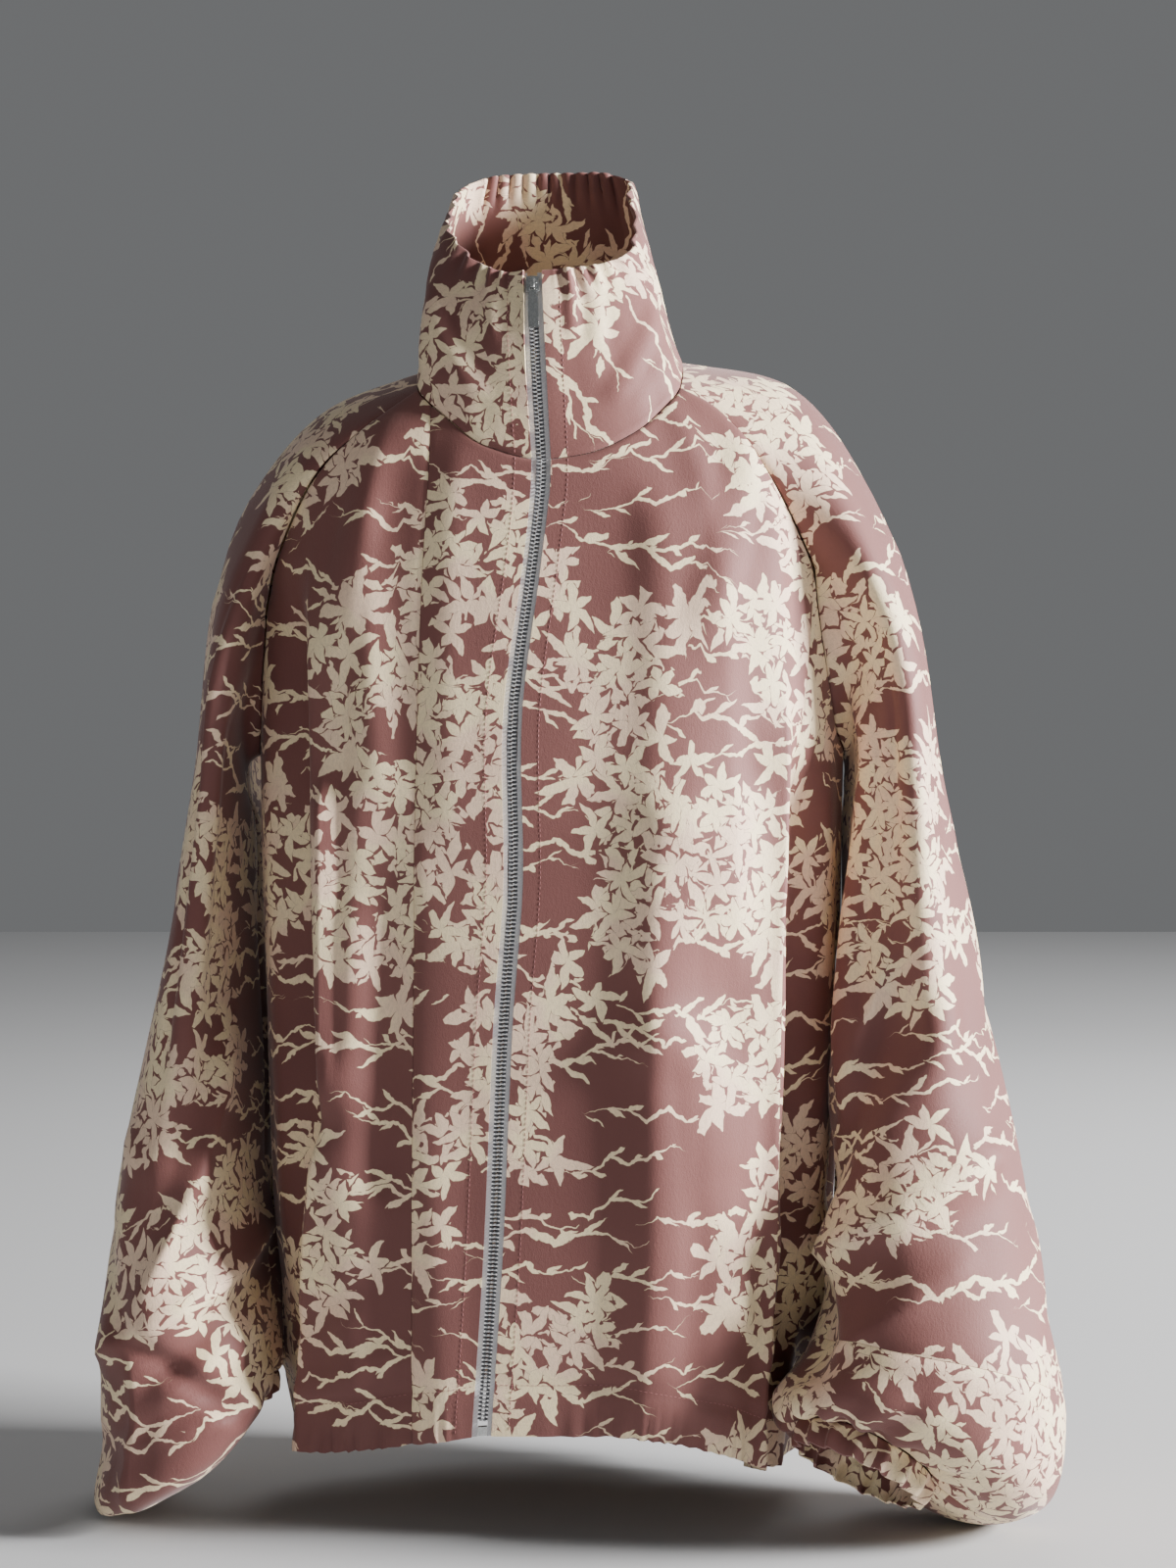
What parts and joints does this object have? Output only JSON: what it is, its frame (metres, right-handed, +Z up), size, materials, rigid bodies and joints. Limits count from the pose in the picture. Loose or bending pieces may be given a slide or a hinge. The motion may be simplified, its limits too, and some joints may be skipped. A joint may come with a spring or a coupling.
{
  "type": "zip-front raglan jacket",
  "caption": "Hollow worn-form jacket of printed crepe with a standing collar, raglan sleeves, elastic cuffs and a metal front zip.",
  "frame": {"origin": "middle of the neck, level with the points where the shoulders meet the neck seam", "axes": "+X towards the wearer's left, the front faces -Y, +Z up"},
  "size_m": [0.6175, 0.2935, 0.888],
  "materials": {
    "crepe": "fine silk crepe, dusty rose with a cream leaf and branch print, soft sheen",
    "tape": "light grey woven zip tape",
    "metal": "silver coloured zip metal"
  },
  "bodies": {
    "jacket": {"back_left": "crepe", "back_right": "crepe", "collar": "crepe", "cuff_left": "crepe", "cuff_right": "crepe", "front_left_centre": "crepe", "front_left_side": "crepe", "front_right_centre": "crepe", "front_right_side": "crepe", "sleeve_left_back": "crepe", "sleeve_left_front": "crepe", "sleeve_left_front_lower": "crepe", "sleeve_right_back": "crepe", "sleeve_right_front": "crepe", "zip_box": "metal", "zip_chain": "metal", "zip_slider": "metal", "zip_tape_left": "tape", "zip_tape_right": "tape"},
    "pull_tab": {"zip_pull": "metal"}
  },
  "joints": [
    {"name": "pull_swing", "type": "hinge", "parent": "jacket", "child": "pull_tab", "pos_m": [-0.01075, -0.08937, 0.04323], "axis": [-0.9995, -0.0063, -0.0301], "range_deg": [0, 165]}
  ]
}
